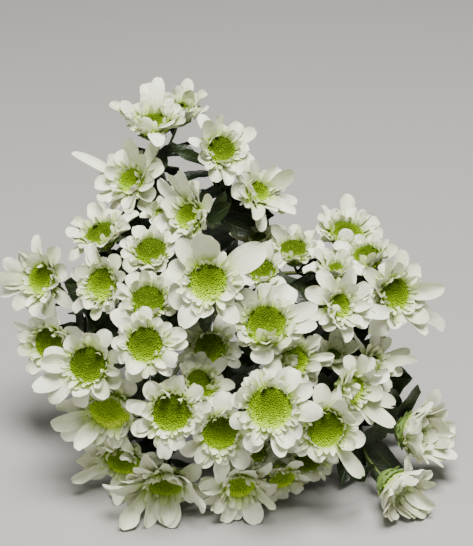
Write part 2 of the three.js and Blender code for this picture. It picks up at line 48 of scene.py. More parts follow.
# The modelled head. Its shares are of the radius out to the petal tips.
POLE_TRIANGLES = 12  # that meet at the calyx's foot, and at the eye's middle
HEAD_OVER_RING = 5  # the radius, over that of the flat ring round the eye's middle
CALYX_DEPTH = 0.010  # from the rays' level down to the calyx's foot
SOLID_CALYX = 0.34
SOLID_EYE = 0.4
SOLID_REACH = 0.88
HALF_RIM = 0.0007  # half the thickness of its rim
PETAL_DEPTH = 0.0008  # how far its petals go down from their surface
CLEAR_ABOVE = 0.0012
CLEAR_BELOW = 0.0004
EYE_RISE = 0.0026


def corner_points(node):
    """All corners of a modelled node's triangles, one row for each triangle, with equal corners
    given the same number: the points, and three point numbers for each triangle."""
    mesh = node.data
    corners = np.empty(len(mesh.vertices) * 3)
    mesh.vertices.foreach_get("co", corners)
    loops = np.empty(len(mesh.loops), int)
    mesh.loops.foreach_get("vertex_index", loops)
    points, number = np.unique(np.round(corners.reshape(-1, 3), 6), axis=0, return_inverse=True)
    return points, number.reshape(-1)[loops].reshape(-1, 3)


def head_of(number):
    """A head's axis and size, read off its modelled solid. At two points more triangles meet than
    elsewhere: the calyx's foot, in a small flat ring, and the eye's middle, in a wider one. The axis
    runs from the first to the second, and the rim's furthest point gives how the petals rise."""
    name = f"bloom_{number:02d}"
    points, triangles = corner_points(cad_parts[name])
    poles = np.flatnonzero(np.bincount(triangles.ravel()) == POLE_TRIANGLES)
    fans = [points[triangles[(triangles == pole).any(1)]].reshape(-1, 3) for pole in poles]
    rings = [np.linalg.norm(fan - points[pole], axis=1).max() for fan, pole in zip(fans, poles)]
    foot, top = points[poles[np.argsort(rings)]]
    axis = (top - foot) / np.linalg.norm(top - foot)
    middle = foot + CALYX_DEPTH * axis
    height = (points - middle) @ axis
    out = np.linalg.norm(points - middle - height[:, None] * axis, axis=1)
    radius = max(rings) * HEAD_OVER_RING
    rise = math.atan2(height[out.argmax()] + HALF_RIM, (SOLID_REACH - SOLID_EYE) * radius)
    side = np.cross(UP, axis)
    side /= np.linalg.norm(side)
    return {"number": number, "name": name, "middle": middle, "radius": radius, "rise": rise,
            "axis": axis, "side": side, "front": np.cross(axis, side)}


heads = [head_of(number) for number in range(1, HEAD_COUNT + 1)]


def place(head, out, turn, height):
    """Points of a head from their distance out from its axis, turn round it and height along it."""
    across = (out * np.cos(turn))[..., None] * head["side"]
    upward = (out * np.sin(turn))[..., None] * head["front"]
    return head["middle"] + across + upward + np.asarray(height)[..., None] * head["axis"]


def in_other_heads(points, own):
    """Whether points lie inside any modelled head but their own, or all but touch it: above the
    calyx cone and below the petals' surface, which rises from the eye's edge at the head's angle."""
    inside = np.zeros(points.shape[:-1], bool)
    for other in heads:
        if other is own:
            continue
        offset = points - other["middle"]
        height = offset @ other["axis"]
        out = np.sqrt(np.maximum((offset**2).sum(-1) - height**2, 0)) / other["radius"]
        slope = math.tan(other["rise"]) * other["radius"]
        roof = np.maximum(out - SOLID_EYE, 0) * slope + np.where(out < SOLID_EYE, EYE_RISE, 0)
        cone = (out / SOLID_CALYX - 1) * CALYX_DEPTH
        floor = np.where(out < SOLID_CALYX, cone, roof - PETAL_DEPTH)
        inside |= (out < SOLID_REACH) & (height < roof + CLEAR_ABOVE) & (height > floor - CLEAR_BELOW)
    return inside


# The rays. Each is one thin white strap petal, narrow at its foot, broad and round at its end, and
# softly grooved. They grow in three rows on the calyx's rim, round the eye.
RAY_SEED = 10
RAY_ROWS = np.array([0, 0.14, 0.32, 0.52, 0.7, 0.84, 0.94, 1])
RAY_COLUMNS = np.linspace(-1, 1, 7)
RAY_THICKNESS = 0.00045
TABLE_GAP = 0.0003  # between the table and the lowest petals

# How many rays a head has in its lower, middle and upper rows. All these tables go by the number
# in a head's name.
YOUNG_COUNTS = (7, 5, 3)
USUAL_COUNTS = (9, 8, 5)
RAY_COUNTS = {10: (7, 6, 3), 30: (12, 11, 8), 31: (11, 10, 7), 38: (10, 9, 5)}
RAY_COUNTS |= dict.fromkeys([4, 11, 28, 42], YOUNG_COUNTS)

# The rays that stand out: the way that each points in the picture, in degrees from up towards the
# right, then its reach and its width, in head radii.
PLACED_RAYS = {
    1: [(-14, 1.25, 0.36), (14, 1.25, 0.36), (-80, 1.15, 0.36), (165, 1.25, 0.4), (135, 1.2, 0.4)],
    2: [(-67, 1.6, 0.26), (25, 1.2, 0.4), (48, 1.3, 0.4), (72, 1.25, 0.4)],
    5: [(-10, 1.1, 0.4), (15, 1.15, 0.4)],
    6: [(-100, 1.1, 0.4), (60, 1.15, 0.4)],
    7: [(70, 1.25, 0.4), (200, 1.2, 0.4)],
    8: [(-30, 1.25, 0.4), (-6, 1.3, 0.4), (14, 1.35, 0.36), (38, 1.2, 0.4)],
    10: [(-3, 1.22, 0.62), (59, 1.36, 0.6), (-150, 1.08, 0.45)],
    13: [(119, 1.3, 0.4)],
    15: [(74, 1.24, 0.4), (95, 1.15, 0.36), (-70, 1.15, 0.4), (180, 0.66, 0.36),
         (155, 0.72, 0.36), (-155, 0.68, 0.36), (-130, 0.76, 0.36)],
    17: [(-90, 1.2, 0.34), (-110, 1.15, 0.36), (-65, 1.15, 0.36)],
    19: [(-115, 1.4, 0.45), (-135, 1.25, 0.4)],
    20: [(-80, 1.15, 0.4), (-100, 1.3, 0.45), (-118, 1.25, 0.4), (-135, 1.2, 0.4)],
    22: [(107, 1, 0.4), (75, 0.8, 0.36)],
    23: [(180, 1.35, 0.4)],
    24: [(-35, 0.8, 0.36), (-52, 0.72, 0.36), (-75, 0.82, 0.36)],
    26: [(111, 1.25, 0.4), (141, 1.35, 0.4)],
    27: [(95, 1.3, 0.36), (75, 1.25, 0.36)],
    29: [(142, 1.4, 0.36)],
    30: [(5, 1.15, 0.4), (40, 1.1, 0.4), (75, 1.1, 0.4), (110, 1.15, 0.4), (150, 1.25, 0.4),
         (-40, 1.15, 0.55), (180, 1.15, 0.4)],
    31: [(95, 1.2, 0.4), (120, 1.25, 0.4), (149, 1.3, 0.4), (175, 1.2, 0.4)],
    32: [(104, 1.3, 0.4), (160, 0.72, 0.4), (185, 0.7, 0.4), (210, 0.74, 0.4)],
    33: [(125, 1.4, 0.4), (85, 1.15, 0.4)],
    34: [(0, 1.2, 0.4)],
    36: [(170, 1.3, 0.4), (155, 1.2, 0.4)],
    38: [(-85, 1.2, 0.4), (-108, 1.25, 0.4), (-130, 1.1, 0.4), (-155, 1, 0.4), (85, 1.15, 0.4),
         (108, 1.2, 0.4), (130, 1.15, 0.4), (155, 1.05, 0.4)],
    39: [(-95, 1.35, 0.36), (180, 1.25, 0.36)],
}
# Heads whose rays stand up into a cup round the eye, with the extra rise in degrees. The rays' feet
# move outwards with it.
CUPPED = {1: 8, 5: 34, 8: 8, 30: 20, 31: 16}
FEET_OUT = 0.005  # in head radii, for each of those degrees
FEET_UNDER_EYE = 0.05

# Each eye's radius, as a share of its head's.
EYE_SHARES = {1: 0.42, 2: 0.36, 4: 0.32, 5: 0.36, 6: 0.45, 7: 0.33, 8: 0.4, 10: 0.44, 17: 0.42,
              25: 0.43, 26: 0.38, 27: 0.3, 28: 0.3, 30: 0.34, 31: 0.34, 32: 0.36, 33: 0.4, 37: 0.35,
              38: 0.4, 40: 0.38, 44: 0.35}
USUAL_EYE = 0.49
for head in heads:
    head["eye"] = EYE_SHARES.get(head["number"], USUAL_EYE)

# How the rays vary, in head radii and degrees, each as a mean and a spread.
RAY_REACH = (0.94, 0.12)
RAY_WIDTH = (0.43, 0.08)
RAY_RISE = (7, 10)
RAY_DROOP = (24, 22)
RAY_CUP = (0.28, 0.24)
RAY_WAVE = (0, 0.16)
RAY_TWIST = (0, 0.28)
RAY_STRAY = (0, 0.1)
# And these as a least and a most.
REACH_LIMITS = (0.66, 1.14)
RAY_WIDEST = (0.52, 0.68)
RAY_NOTCH = (-0.01, 0.035)
ANY_PHASE = (0, 6)
# What all rays have alike, and what changes from each row to the next one up.
RAY_CLAW = 0.42
RAY_GROOVE = 0.035
RAY_BASE = 0.0002
BASE_STRAY = 0.0003
ROW_UP = 0.0007
ROW_SHORTER = np.array([0, 0.05, 0.24])
ROW_NARROWER = 0.05
ROW_STEEPER = 17
ROW_STRAIGHTER = 6
RAYS_OF_USUAL_WIDTH = 19  # on one head. More rays are narrower.
# A ray that would run into another head bends up or down past it, or else stays shorter. These are
# tried in turn: degrees of bend, and how much of the length is kept.
RAY_BENDS = [(0, 1), (10, 1), (-10, 1), (20, 1), (-18, 1), (30, 0.94), (0, 0.86), (40, 0.9), (-28, 0.9),
             (50, 0.86), (15, 0.76), (60, 0.8), (0, 0.66)]
FIRST_FREE_ROW = 2  # of RAY_ROWS. Nearer the foot a ray is between its own head's parts.

# The shape of a petal, where nothing else is said.
PLAIN_PETAL = {"widest": 0.6, "claw": 0.5, "end": 1.06, "notch": 0, "cup": 0, "groove": 0, "wave": 0,
               "phase": 0, "twist": 0, "droop": 0, "base": 0}
BEND_POWER = 1.4
TIP_AHEAD = 0.05
EDGE_WAVES = 9  # in radians, over the length
GROOVES = 3


def petal_sheets(head, shape, rows, columns):
    """Points and normals of petals on a head. Along its middle line a petal leaves at its rise
    angle and bends by its droop, so the line is the sum of cosines and sines of that angle. Its half
    width grows from the claw as a quarter sine to the widest place and then falls as an ellipse.
    Across, it is cupped as the square of the distance from the middle, grooved as a cosine, waved
    along its edges as a sine, and twisted about its line."""
    count = len(shape["turn"])
    s = {key: np.broadcast_to(value, count)[:, None] for key, value in (PLAIN_PETAL | shape).items()}
    angle = s["rise"] - s["droop"] * rows**BEND_POWER
    step = np.diff(rows) * s["length"]
    between = (angle[:, 1:] + angle[:, :-1]) / 2
    nought = np.zeros_like(s["length"])
    out = s["root"] + np.hstack([nought, np.cumsum(np.cos(between) * step, axis=1)])
    up = s["base"] + np.hstack([nought, np.cumsum(np.sin(between) * step, axis=1)])
    grown = np.sin(np.minimum(rows / s["widest"], 1) * math.pi / 2)
    past = np.maximum(rows - s["widest"], 0) / (s["end"] - s["widest"])
    half = s["width"] / 2 * (s["claw"] + (1 - s["claw"]) * grown) * np.sqrt(1 - past**2)
    half, angle, out, up = (each[..., None] for each in (half, angle, out, up))
    s = {key: value[..., None] for key, value in s.items()}
    u = columns[None, None, :]
    v = rows[None, :, None]
    notch = s["notch"] * np.cos(u * math.pi * 1.5) * (1 - u**2)
    ahead = s["length"] * (TIP_AHEAD * (1 - u**2) - notch) * v**6
    wave = s["wave"] * np.sin(v * EDGE_WAVES + s["phase"]) * u
    groove = s["groove"] * np.cos(u * GROOVES * math.pi) * half
    lift = half * (s["cup"] * u**2 + wave * np.abs(u)) - groove
    turn = s["twist"] * v
    side = u * half * np.cos(turn) - lift * np.sin(turn)
    rise = u * half * np.sin(turn) + lift * np.cos(turn)
    out = out + ahead * np.cos(angle) - rise * np.sin(angle)
    up = up + ahead * np.sin(angle) + rise * np.cos(angle)
    ray = np.cos(s["turn"])[..., None] * head["side"] + np.sin(s["turn"])[..., None] * head["front"]
    across = np.cross(head["axis"], ray)
    points = head["middle"] + out[..., None] * ray + up[..., None] * head["axis"]
    points = points + side[..., None] * across
    upright = np.cos(turn) * np.cos(angle) * np.ones_like(u)
    normal = -np.sin(angle)[..., None] * ray * np.cos(turn)[..., None]
    normal = normal + upright[..., None] * head["axis"] - np.sin(turn)[..., None] * across
    return points, normal


def shell_faces(rows, columns):
    """Quads of a thin closed shell: a grid of front points, and behind its inner points a second
    grid that shares the front's border. Rows run outwards, and columns the way that turns grow."""
    front = np.arange(rows * columns).reshape(rows, columns)
    back = front.copy()
    inner = np.arange((rows - 2) * (columns - 2)).reshape(rows - 2, columns - 2)
    back[1:-1, 1:-1] = rows * columns + inner
    quads = []
    for grid in (front, back[:, ::-1]):
        quad = [grid[:-1, :-1], grid[1:, :-1], grid[1:, 1:], grid[:-1, 1:]]
        quads.append(np.stack(quad, axis=-1).reshape(-1, 4))
    return np.concatenate(quads)


def shells(points, normals, thickness):
    """Front and back points of thin petals, the back ones lowered along the normals, both kept off
    the table, and the quads that close them."""
    count, rows, columns = points.shape[:3]
    back = (points - thickness * normals)[:, 1:-1, 1:-1]
    both = np.concatenate([points.reshape(count, -1, 3), back.reshape(count, -1, 3)], axis=1)
    both[..., 2] = np.maximum(both[..., 2], TABLE_GAP)
    starts = np.arange(count)[:, None, None] * both.shape[1]
    return both.reshape(-1, 3), (shell_faces(rows, columns) + starts).reshape(-1, 4)


def shell_maps(rows, columns, count):
    """Where each point of such petals lies across and along its petal, from 0 to 1."""
    along, across = np.meshgrid(rows, (columns + 1) / 2, indexing="ij")
    front = np.stack([across, along], axis=-1)
    both = np.concatenate([front.reshape(-1, 2), front[1:-1, 1:-1].reshape(-1, 2)])
    return np.tile(both, (count, 1))


def add_piece(name, points, faces, material, maps=None, marks=None, sharp=60):
    """A smooth mesh from points and faces, with its creases kept that are sharper than an angle in
    degrees. maps gives each point's place in the petal's own UV map, and marks are single values
    at the points."""
    mesh = bpy.data.meshes.new(name)
    mesh.from_pydata(points, [], faces)
    mesh.polygons.foreach_set("use_smooth", np.ones(len(mesh.polygons), bool))
    mesh.set_sharp_from_angle(angle=math.radians(sharp))
    if maps is not None:
        loops = np.empty(len(mesh.loops), int)
        mesh.loops.foreach_get("vertex_index", loops)
        layer = mesh.uv_layers.new(name="petal")
        layer.data.foreach_set("uv", maps[loops].astype(np.float32).ravel())
    for mark, values in (marks or {}).items():
        attribute = mesh.attributes.new(mark, "FLOAT", "POINT")
        attribute.data.foreach_set("value", np.asarray(values, np.float32))
    mesh.materials.append(material)
    piece = bpy.data.objects.new(name, mesh)
    bpy.context.scene.collection.objects.link(piece)
    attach(piece, "root")
    return piece


def feed(node, inputs):
    """Gives a node's inputs their values and colours, or links them to the outputs given."""
    for name, value in inputs.items():
        socket = node.inputs[name]
        if isinstance(value, bpy.types.NodeSocket):
            node.id_data.links.new(value, socket)
        else:
            socket.default_value = (*value, 1) if socket.type == "RGBA" else value


def adder(tree):
    """A function that adds a shader node to a tree, with its settings and what feeds its inputs."""

    def add(kind, inputs=(), **settings):
        node = tree.nodes.new("ShaderNode" + kind)
        for key, value in settings.items():
            setattr(node, key, value)
        feed(node, dict(inputs))
        return node

    return add


def new_material(name, roughness):
    """A material with only a Principled shader: the material, the shader and an adder of nodes."""
    material = bpy.data.materials.new(name)
    material.use_nodes = True
    shader = material.node_tree.nodes["Principled BSDF"]
    feed(shader, {"Roughness": roughness})
    return material, shader, adder(material.node_tree)


def new_group(name, inputs, outputs):
    """A node group, from the names of its inputs and outputs and their kinds of socket: the group,
    an adder of nodes, the sockets that its inputs come in by, and the node its outputs go out by."""
    group = bpy.data.node_groups.new(name, "ShaderNodeTree")
    for way, sockets in (("INPUT", inputs), ("OUTPUT", outputs)):
        for socket, kind in sockets.items():
            group.interface.new_socket(socket, in_out=way, socket_type="NodeSocket" + kind)
    given = group.nodes.new("NodeGroupInput").outputs
    return group, adder(group), given, group.nodes.new("NodeGroupOutput")


def petal_group():
    """What the skins of all white petals share. The body's colour goes towards the tint by each
    petal's tone, and into the foot's colour as a smooth step over the foot's reach. Fine spots are
    a little darker. The ridges are a sine of the place across the petal."""
    inputs = {"Body": "Color", "Tint": "Color", "Foot": "Color", "Foot reach": "Float"}
    group, add, given, result = new_group("petal skin", inputs, {"Color": "Color", "Ridges": "Float"})
    uv = add("UVMap", uv_map="petal")
    split = add("SeparateXYZ", {"Vector": uv.outputs["UV"]})
    tone = add("Attribute", attribute_name="tone")
    plain = add("Mix", {"Factor": tone.outputs["Fac"], "A": given["Body"], "B": given["Tint"]},
                data_type="RGBA")
    reach = add("MapRange", {"Value": split.outputs["Y"], "From Min": 0, "From Max": given["Foot reach"],
                             "To Min": 1, "To Max": 0}, interpolation_type="SMOOTHSTEP")
    body = add("Mix", {"Factor": reach.outputs["Result"], "A": plain.outputs["Result"],
                       "B": given["Foot"]}, data_type="RGBA")
    place_in = add("TexCoord")
    mottle = add("TexNoise", {"Vector": place_in.outputs["Object"], "Scale": 260, "Detail": 3})
    spots = add("MapRange", {"Value": mottle.outputs["Fac"], "From Min": 0.35, "From Max": 0.7,
                             "To Min": 1, "To Max": 0.9})
    colour = add("Mix", {"Factor": 1, "A": body.outputs["Result"], "B": spots.outputs["Result"]},
                 data_type="RGBA", blend_type="MULTIPLY")
    across = add("Math", {0: split.outputs["X"], 1: 44}, operation="MULTIPLY")
    ridges = add("Math", {0: across.outputs["Value"]}, operation="SINE")
    feed(result, {"Color": colour.outputs["Result"], "Ridges": ridges.outputs["Value"]})
    return group


petal_skin = petal_group()


def petal_material(name, body, tint, foot, foot_reach):
    """Fresh petal skin: a nearly white body that runs into a yellow-green foot, faint ridges along
    the petal, a slightly different tint on each one, and a soft glow through the thin flesh."""
    material, shader, add = new_material(name, roughness=0.55)
    skin = add("Group", {"Body": body, "Tint": tint, "Foot": foot, "Foot reach": foot_reach},
               node_tree=petal_skin)
    bump = add("Bump", {"Height": skin.outputs["Ridges"], "Strength": 0.25, "Distance": 0.0001})
    feed(shader, {"Base Color": skin.outputs["Color"], "Normal": bump.outputs["Normal"],
                  "Subsurface Weight": 0.08, "Subsurface Radius": (0.003, 0.003, 0.0015)})
    return material


ray_skin = petal_material("white ray petal", body=(0.86, 0.87, 0.67), tint=(0.67, 0.7, 0.47),
                          foot=(0.44, 0.58, 0.09), foot_reach=0.48)
RIGHT = np.array([1, 0, 0])
TOWARDS = np.array([0, -math.cos(VIEW_DOWN), math.sin(VIEW_DOWN)])  # the lens


def turn_towards(head, clock):
    """The turn round a head's axis of what points a given way in the picture, in degrees from up
    towards the right: that way is laid on the head's own plane along the line of sight."""
    way = math.sin(math.radians(clock)) * RIGHT + math.cos(math.radians(clock)) * UP
    way = way - (way @ head["axis"]) / (TOWARDS @ head["axis"]) * TOWARDS
    return math.atan2(way @ head["front"], way @ head["side"])


def turns_apart(turn, aim):
    """The smaller angle between turns and another turn."""
    return np.abs((turn - aim + math.pi) % (2 * math.pi) - math.pi)


def clear_of_heads(head, shape):
    """The shape of a head's rays, with each one bent or shortened by the first of RAY_BENDS that
    keeps most of it clear of the other heads and the table."""
    fewest = np.full(len(shape["turn"]), np.inf)
    rise, length = shape["rise"].copy(), shape["length"].copy()
    for bend, kept in RAY_BENDS:
        tried = dict(shape, rise=shape["rise"] + math.radians(bend), length=shape["length"] * kept)
        points = petal_sheets(head, tried, RAY_ROWS, RAY_COLUMNS)[0][:, FIRST_FREE_ROW:]
        hits = in_other_heads(points, head).sum((1, 2)) + (points[..., 2] < 0).sum((1, 2))
        better = hits < fewest
        rise[better], length[better] = tried["rise"][better], tried["length"][better]
        fewest = np.minimum(fewest, hits)
    return dict(shape, rise=rise, length=length)


for head in heads:
    chance = np.random.default_rng(RAY_SEED + head["number"])
    in_row = RAY_COUNTS.get(head["number"], USUAL_COUNTS)
    count = sum(in_row)
    row = np.repeat([0, 1, 2], in_row)
    even = np.concatenate([(np.arange(n) + 0.5 * k) / n for k, n in enumerate(in_row)])
    turn = (even + chance.uniform(0, 1)) * 2 * math.pi + chance.normal(*RAY_STRAY, count)
    reach = np.clip(chance.normal(*RAY_REACH, count), *REACH_LIMITS) - ROW_SHORTER[row]
    crowding = (RAYS_OF_USUAL_WIDTH / count) ** 0.5
    wide = (chance.normal(*RAY_WIDTH, count) - ROW_NARROWER * row) * crowding
    for clock, far, share in PLACED_RAYS.get(head["number"], []):
        aim = turn_towards(head, clock)
        nearest = turns_apart(turn, aim).argmin()
        turn[nearest] = aim
        reach[nearest] = far
        wide[nearest] = share
    radius = head["radius"]
    cupped = CUPPED.get(head["number"], 0)
    root = (head["eye"] - FEET_UNDER_EYE + FEET_OUT * cupped) * radius
    shape = {
        "turn": turn,
        "root": root,
        "base": RAY_BASE + ROW_UP * row + chance.uniform(0, BASE_STRAY, count),
        "length": reach * radius - root,
        "width": wide * radius,
        "rise": head["rise"] + np.radians(chance.normal(*RAY_RISE, count) + ROW_STEEPER * row + cupped),
        "droop": np.radians(chance.normal(*RAY_DROOP, count) - ROW_STRAIGHTER * row),
        "widest": chance.uniform(*RAY_WIDEST, count),
        "claw": RAY_CLAW,
        "notch": chance.uniform(*RAY_NOTCH, count),
        "cup": chance.normal(*RAY_CUP, count),
        "groove": RAY_GROOVE,
        "wave": chance.normal(*RAY_WAVE, count),
        "phase": chance.uniform(*ANY_PHASE, count),
        "twist": chance.normal(*RAY_TWIST, count),
    }
    points, normals = petal_sheets(head, clear_of_heads(head, shape), RAY_ROWS, RAY_COLUMNS)
    points, faces = shells(points, normals, RAY_THICKNESS)
    # Most rays are near the body's white, and few near the tint.
    marks = {"tone": np.repeat(chance.uniform(0, 1, count) ** 2, len(points) // count)}
    maps = shell_maps(RAY_ROWS, RAY_COLUMNS, count)
    rays = add_piece(head["name"] + "_rays", points, faces, ray_skin, maps, marks)
    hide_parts(head["name"])

# The ragged ring round the eye: short white florets, quilled at the foot and toothed at the tip.
# They grow between the eye and the rays in two rings, of which the inner one stands up more.
FLORET_SEED = 300
FLORET_ROWS = np.array([0, 0.3, 0.6, 0.85, 1])
FLORET_COLUMNS = np.array([-1, 0, 1])
FLORET_THICKNESS = 0.0005
FLORETS_LEAST = 34
FLORETS_MORE = 500  # for each metre of a head's radius
# How the florets vary, in head radii and degrees, each as a mean and a spread.
FLORET_LENGTH = (0.25, 0.07)
FLORET_RISE = (38, 14)
FLORET_DROOP = (26, 20)
FLORET_CUP = (0.5, 0.2)
FLORET_TWIST = (0, 0.3)
# And these as a least and a most.
LENGTH_LIMITS = (0.1, 0.42)
FLORET_WIDTH = (0.1, 0.17)
FLORET_WIDEST = (0.6, 0.8)
FLORET_NOTCH = (-0.05, 0.1)
# What all florets have alike, and what is different in the inner ring.
FLORET_STRAY = 0.3  # the spread of their turns, of the turn to the next one
FLORET_BASE = 0.001
FLORET_UNDER_EYE = 0.02
LEVELLED = 0.6  # how much of the rays' rise they share
INNER_IN = 0.04
INNER_STEEPER = 32
# On some heads a few florets are larger and fold inwards over the eye: which way from its middle
# they stand in the picture, how far to both sides of that, both in degrees, and how much larger.
FOLDED = {15: (178, 30, 1.9), 16: (-140, 25, 1.3), 22: (80, 45, 1.5), 25: (-90, 30, 1.4),
          26: (-70, 35, 1.4), 27: (200, 45, 1.4), 32: (-120, 25, 1.3), 36: (170, 40, 1.4)}
FOLD = math.radians(52)
floret_skin = petal_material("quilled floret", body=(0.86, 0.88, 0.66), tint=(0.7, 0.78, 0.36),
                             foot=(0.46, 0.62, 0.08), foot_reach=0.85)

for head in heads:
    chance = np.random.default_rng(FLORET_SEED + head["number"])
    radius = head["radius"]
    count = int(FLORETS_LEAST + radius * FLORETS_MORE)
    turn = (np.arange(count) / count + chance.normal(0, FLORET_STRAY / count, count)) * 2 * math.pi
    inner = np.arange(count) % 2
    shape = {
        "turn": turn,
        "root": (head["eye"] - FLORET_UNDER_EYE - INNER_IN * inner) * radius,
        "base": FLORET_BASE,
        "length": np.clip(chance.normal(*FLORET_LENGTH, count), *LENGTH_LIMITS) * radius,
        "width": chance.uniform(*FLORET_WIDTH, count) * radius,
        "rise": head["rise"] * LEVELLED
        + np.radians(chance.normal(*FLORET_RISE, count) + INNER_STEEPER * inner),
        "droop": np.radians(chance.normal(*FLORET_DROOP, count)),
        "widest": chance.uniform(*FLORET_WIDEST, count),
        "notch": chance.uniform(*FLORET_NOTCH, count),
        "cup": chance.normal(*FLORET_CUP, count),
        "twist": chance.normal(*FLORET_TWIST, count),
    }
    if head["number"] in FOLDED:
        clock, spread, growth = FOLDED[head["number"]]
        over = turns_apart(turn, turn_towards(head, clock)) < math.radians(spread)
        shape["rise"][over] += FOLD
        shape["length"][over] *= growth
        shape["width"][over] *= growth
    points, normals = petal_sheets(head, shape, FLORET_ROWS, FLORET_COLUMNS)
    points, faces = shells(points, normals, FLORET_THICKNESS)
    marks = {"tone": np.repeat(chance.uniform(0, 1, count), len(points) // count)}
    maps = shell_maps(FLORET_ROWS, FLORET_COLUMNS, count)
    florets = add_piece(head["name"] + "_florets", points, faces, floret_skin, maps, marks)
    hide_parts(head["name"])

# The eye: a low dome packed with tiny six-sided florets in a spiral. The outer ones are open and
# yellow-green, and the inner ones are closed buds of a deeper green in a slight hollow. Its upper
# side is painted darker and its lower side paler, as painted shade.
EYE_SEED = 600
SPIRAL_TURN = math.radians(137.5)
BUD_SPACING = 0.00125
BUDS_PACKED = 3.1  # in a circle whose radius is one spacing
BUD_STRAY = 0.2  # in spacings
BUD_SIZES = (0.85, 1.15)
EDGE_LEAN = math.radians(55)
LEAN_STRAY = 0.08
BUD_SIDES = 6
BUD_RINGS = [(0.56, -0.3), (0.6, 0.6)]  # out in bud sizes, and up in bud heights
BUD_POINTS = len(BUD_RINGS) * BUD_SIDES + 1
BUD_CROWN = np.repeat([0, 0.6, 1], [BUD_SIDES, BUD_SIDES, 1])  # how near the tip its points lie
# The dome under the florets, in eye radii from its foot up to its top, and the marks it has.
DOME_OUT = np.array([0, 0.98, 0.96, 0.85, 0.7, 0.5, 0.3, 0.12, 0])
DOME_FOOT = -0.0014
DOME_UNDER = 0.0001
DOME_SIDES = 24
DOME_MARKS = {"ring": 0.4, "crown": 0.3, "tone": 0.4}

# How far each eye has opened, from closed green buds below nought to pale florets at a half, and
# how much further its edge has. Last, how much paler the side that faces down in the picture is
# painted, with the upper side darker: painted shade from the florets and rays above.
# These ages are partly painted light and shade: some eyes are set older and paler as painted light, and
# some younger and darker as painted shade.
YOUNG_EYES = dict.fromkeys([3, 6, 9, 11, 12, 19, 22, 35, 41], -0.1)
OPEN_AND_PAINTED_LIGHT_EYES = dict.fromkeys([2, 7, 8, 10, 14, 16, 17, 24, 32, 39], 0.32)
OLD_AND_PAINTED_LIGHT_EYES = dict.fromkeys([20, 25, 26, 40, 42], 0.55)
EYE_AGES_AND_PAINTED_LIGHT = YOUNG_EYES | OPEN_AND_PAINTED_LIGHT_EYES | OLD_AND_PAINTED_LIGHT_EYES | {15: 0.14, 21: 0, 33: 0.08, 38: 0.22}
USUAL_AGES = (0.04, 0.2)
EDGE_OLDER = 0.56
UPPER_SIDE_PAINTED_SHADE = 0.5


def eye_height(out):
    """The dome's height from the share of the way to its edge: one less its fourth power, less a
    bell-shaped dip in the middle."""
    return EYE_RISE * (1.05 * (1 - out**4) - 0.6 * np.exp(-((out / 0.42) ** 2)))


def ring_walls(rings, sides):
    """Quads between rings of points that follow one another along an axis."""
    k = np.arange(sides)
    n = (k + 1) % sides
    wall = np.stack([k, n, sides + n, sides + k], axis=1)
    return (np.arange(rings - 1)[:, None, None] * sides + wall).reshape(-1, 4)


def lathe(head, out, height, sides):
    """Points and faces of a closed solid of revolution on a head's axis, from a profile that starts
    and ends on it: rings of points, then the two ends, with a fan of triangles at each."""
    turn = np.arange(sides) / sides * 2 * math.pi
    rings = len(out) - 2
    body = place(head, np.repeat(out[1:-1], sides), np.tile(turn, rings), np.repeat(height[1:-1], sides))
    ends = place(head, np.zeros(2), np.zeros(2), height[[0, -1]])
    k = np.arange(sides)
    n = (k + 1) % sides
    low_end = np.full(sides, rings * sides)
    last_ring = (rings - 1) * sides
    fans = np.concatenate([np.stack([low_end, n, k], axis=1),
                           np.stack([low_end + 1, last_ring + k, last_ring + n], axis=1)])
    return np.concatenate([body, ends]), fans.tolist() + ring_walls(rings, sides).tolist()


def bud_faces(count):
    """Faces of closed buds: a flat six-sided foot, walls between two rings, and a pointed top."""
    k = np.arange(BUD_SIDES)
    n = (k + 1) % BUD_SIDES
    tops = np.stack([BUD_SIDES + k, BUD_SIDES + n, np.full(BUD_SIDES, BUD_POINTS - 1)], axis=1)
    starts = np.arange(count)[:, None, None] * BUD_POINTS
    faces = []
    for part in (k[None, ::-1], ring_walls(len(BUD_RINGS), BUD_SIDES), tops):
        faces += (starts + part).reshape(-1, part.shape[1]).tolist()
    return faces


def eye_material():
    """The eye's florets: deep green where their ring mark is low, through lime, to pale yellow-green
    where it is high, each with a lighter crown and hardly any shine. The ring mark is how far the
    florets have opened, with painted light and painted shade added to it."""
    material, shader, add = new_material("lime eye floret", roughness=0.7)
    ring = add("Attribute", attribute_name="ring")
    crown = add("Attribute", attribute_name="crown")
    tone = add("Attribute", attribute_name="tone")
    ramp = add("ValToRGB", {"Fac": ring.outputs["Fac"]})
    stops = {0: (0.062, 0.108, 0.001), 0.35: (0.15, 0.25, 0.001), 0.7: (0.34, 0.54, 0.004),
             1: (0.68, 0.87, 0.06)}
    # A new ramp has its two ends already.
    for position in list(stops)[1:-1]:
        ramp.color_ramp.elements.new(position)
    for element, colour in zip(ramp.color_ramp.elements, stops.values()):
        element.color = (*colour, 1)
    light = add("MapRange", {"Value": crown.outputs["Fac"], "To Min": 0.8, "To Max": 1.05})
    vary = add("MapRange", {"Value": tone.outputs["Fac"], "To Min": 0.88, "To Max": 1.1})
    both = add("Math", {0: light.outputs["Result"], 1: vary.outputs["Result"]}, operation="MULTIPLY")
    colour = add("Mix", {"Factor": 1, "A": ramp.outputs["Color"], "B": both.outputs["Value"]},
                 data_type="RGBA", blend_type="MULTIPLY")
    feed(shader, {"Base Color": colour.outputs["Result"], "Specular IOR Level": 0.1})
    return material


eye_skin = eye_material()

